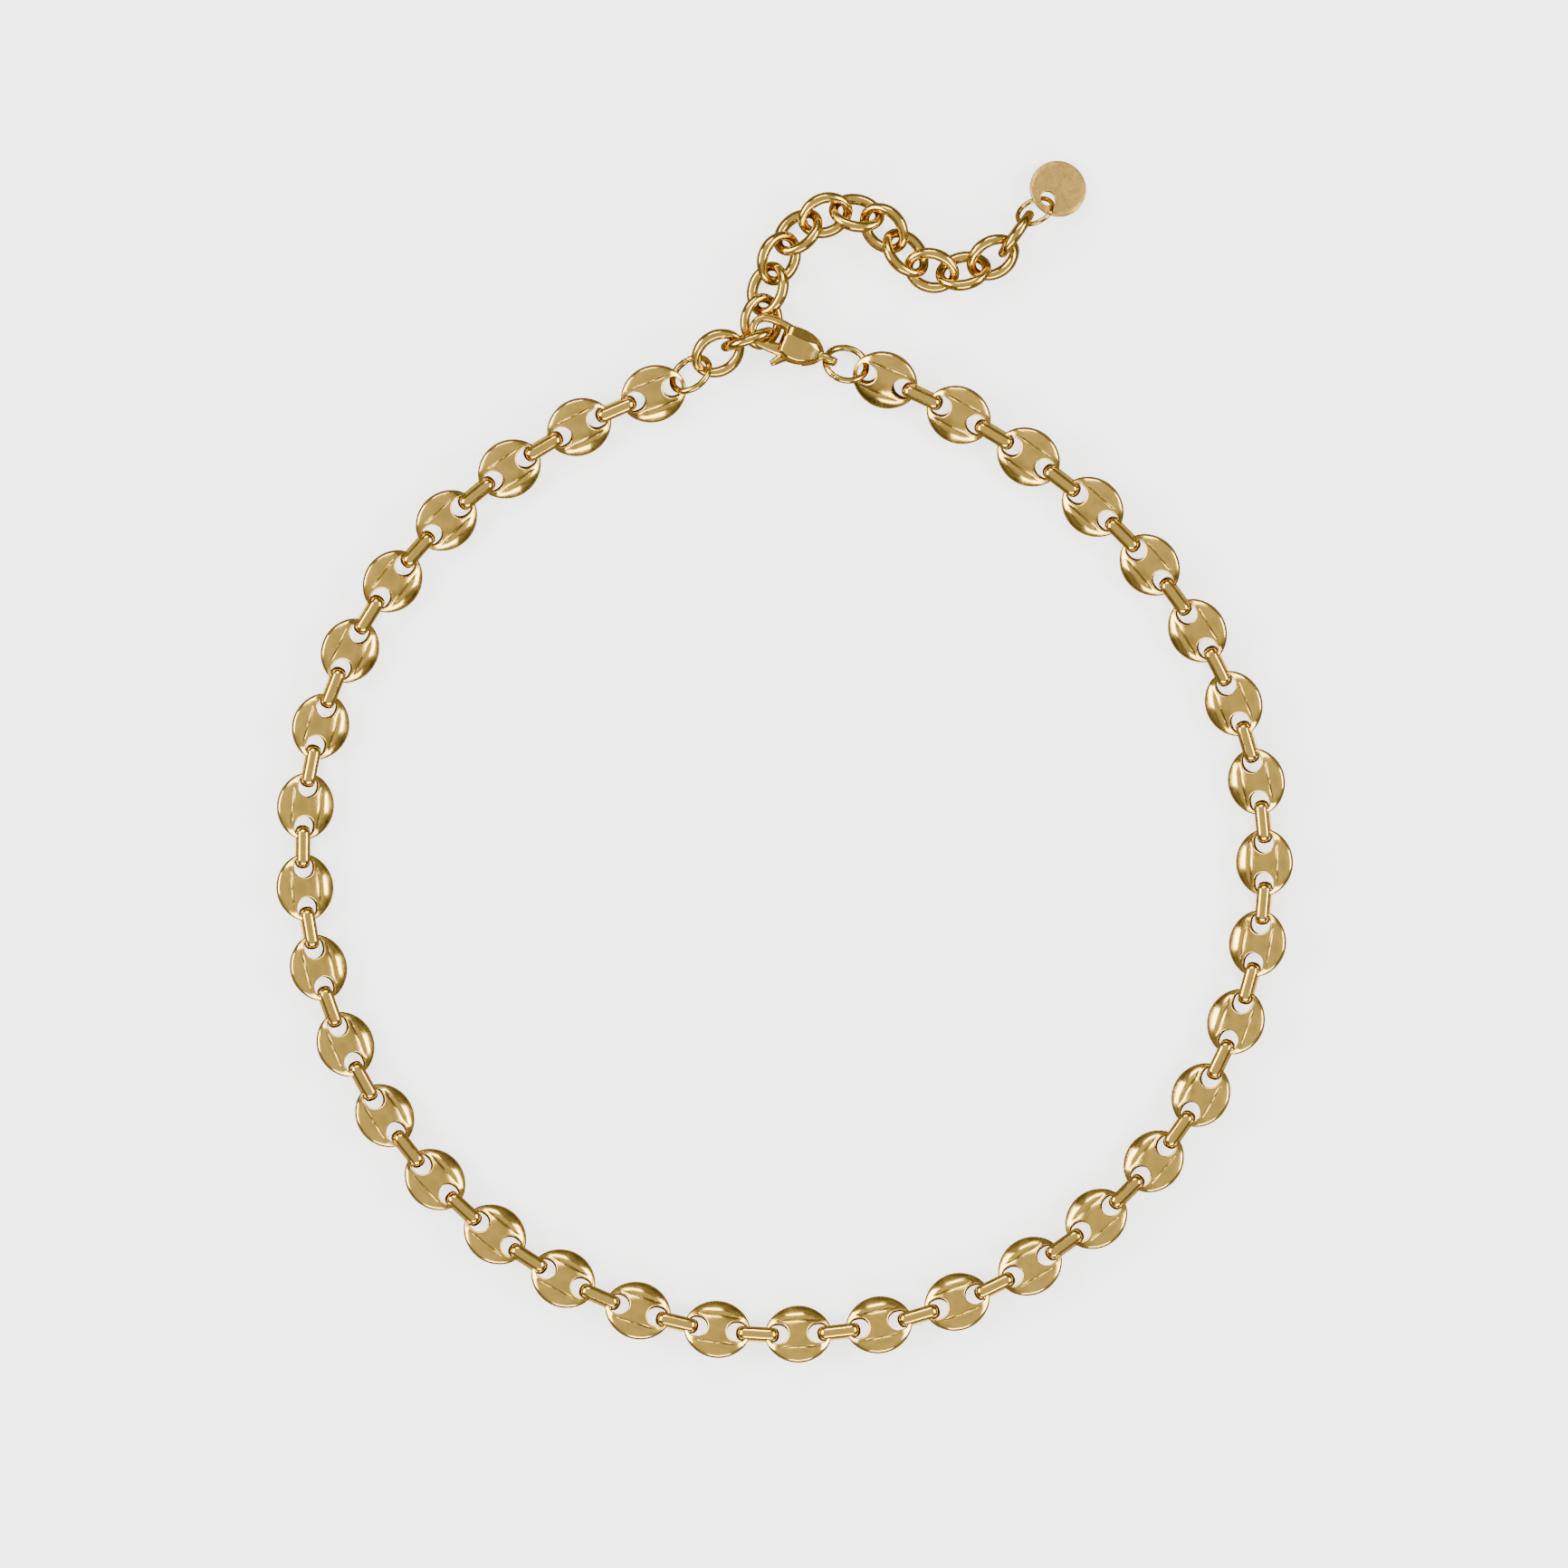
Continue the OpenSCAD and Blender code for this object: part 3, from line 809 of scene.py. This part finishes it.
FLOOR_HALF, FLOOR_DROP = 900 * MM, 0.05 * MM
FLOOR_CORNERS = ((-1, -1), (1, -1), (1, 1), (-1, 1))
PAPER_GLOW = 2.2

floor_mesh = bpy.data.meshes.new("floor")
floor_mesh.from_pydata([(FLOOR_HALF * x, FLOOR_HALF * y, -FLOOR_DROP) for x, y in FLOOR_CORNERS],
                       [], [(0, 1, 2, 3)])
floor = bpy.data.objects.new("floor", floor_mesh)
bpy.context.scene.collection.objects.link(floor)
paper = bpy.data.materials.new("paper")
paper.use_nodes = True
tree = paper.node_tree
shader = tree.nodes["Principled BSDF"]
shader.inputs["Roughness"].default_value = 0.9
shader.inputs["Specular IOR Level"].default_value = 0.1
noise = tree.nodes.new("ShaderNodeTexNoise")
noise.inputs["Scale"].default_value = 60
ramp = tree.nodes.new("ShaderNodeValToRGB")
ramp.color_ramp.elements[0].color = (0.95, 0.95, 0.945, 1)
ramp.color_ramp.elements[1].color = (0.97, 0.97, 0.965, 1)
tree.links.new(noise.outputs["Fac"], ramp.inputs["Fac"])
tree.links.new(ramp.outputs["Color"], shader.inputs["Base Color"])
# the polished metal sees the surface darker than the camera does, as it would on a lit glass table
shade = tree.nodes.new("ShaderNodeBsdfDiffuse")
shade.inputs["Color"].default_value = (0.16, 0.13, 0.09, 1)
ray = tree.nodes.new("ShaderNodeLightPath")
either = tree.nodes.new("ShaderNodeMixShader")
tree.links.new(ray.outputs["Is Glossy Ray"], either.inputs["Fac"])
shader.inputs["Emission Color"].default_value = (1, 1, 1, 1)
shader.inputs["Emission Strength"].default_value = PAPER_GLOW
tree.links.new(shader.outputs["BSDF"], either.inputs[1])
tree.links.new(shade.outputs["BSDF"], either.inputs[2])
tree.links.new(either.outputs["Shader"], tree.nodes["Material Output"].inputs["Surface"])
floor_mesh.materials.append(paper)

world = bpy.data.worlds.new("studio")
bpy.context.scene.world = world
world.use_nodes = True
sky, sky_links = world.node_tree.nodes, world.node_tree.links
sky_where = sky.new("ShaderNodeTexCoord")
sky_split = sky.new("ShaderNodeSeparateXYZ")
sky_links.new(sky_where.outputs["Generated"], sky_split.inputs["Vector"])
sky_ramp = sky.new("ShaderNodeValToRGB")
sky_noise = sky.new("ShaderNodeTexNoise")
sky_noise.inputs["Scale"].default_value = 2.6
sky_noise.inputs["Detail"].default_value = 1.5
sky_links.new(sky_where.outputs["Generated"], sky_noise.inputs["Vector"])
sky_shift = sky.new("ShaderNodeMath")
sky_shift.operation = "MULTIPLY_ADD"
sky_shift.inputs[1].default_value = 0.5
sky_shift.inputs[2].default_value = -0.25
sky_links.new(sky_noise.outputs["Fac"], sky_shift.inputs[0])
sky_sum = sky.new("ShaderNodeMath")
sky_sum.operation = "ADD"
sky_links.new(sky_split.outputs["Z"], sky_sum.inputs[0])
sky_links.new(sky_shift.outputs["Value"], sky_sum.inputs[1])
sky_links.new(sky_sum.outputs["Value"], sky_ramp.inputs["Fac"])
# how light the sky is at each height, with a noise that shifts the bands
bands = [(0.0, 0.05), (0.26, 0.08), (0.42, 0.34), (0.54, 0.10), (0.70, 0.55), (0.90, 0.85), (1.0, 0.66)]
for position, tone in bands[:-1]:
    stop = sky_ramp.color_ramp.elements.new(position)
    stop.color = (tone, tone * 0.97, tone * 0.92, 1)
sky_ramp.color_ramp.elements[-1].color = (bands[-1][1],) * 3 + (1,)
sky_links.new(sky_ramp.outputs["Color"], sky["Background"].inputs["Color"])
sky["Background"].inputs["Strength"].default_value = 1.0


def softbox(name, at, wide, high, power, colour=(1, 0.98, 0.95)):
    """A square lamp that faces the middle of the necklace."""
    light = bpy.data.lights.new(name, "AREA")
    light.shape = "RECTANGLE"
    light.size, light.size_y = wide, high
    light.energy = power
    light.color = colour
    lamp = bpy.data.objects.new(name, light)
    bpy.context.scene.collection.objects.link(lamp)
    lamp.location = at
    lamp.rotation_euler = (Vector((0, 0, 0)) - Vector(at)).to_track_quat("-Z", "Y").to_euler()


softbox("left_box", (-0.62, 0.10, 0.42), 0.55, 0.30, 7.5)
softbox("right_box", (0.62, 0.05, 0.45), 0.50, 0.26, 6.0)
softbox("front_box", (0.05, -0.66, 0.40), 0.60, 0.22, 5.0)
softbox("back_box", (-0.10, 0.62, 0.55), 0.50, 0.20, 3.5)

PICTURE_WIDTH = 201.9512 * MM  # what the photograph's frame takes in at the necklace
CAMERA_AT = (-0.00009, -0.00297)
NECKLACE_MIDDLE = 2 * MM       # the height at which the width is right

camera_data = bpy.data.cameras.new("camera")
camera = bpy.data.objects.new("camera", camera_data)
bpy.context.scene.collection.objects.link(camera)
camera_data.sensor_width = 36
camera_data.lens = 85
distance = PICTURE_WIDTH * camera_data.lens / camera_data.sensor_width
camera.location = (*CAMERA_AT, distance + NECKLACE_MIDDLE)
camera.rotation_euler = (0, 0, 0)
bpy.context.scene.camera = camera
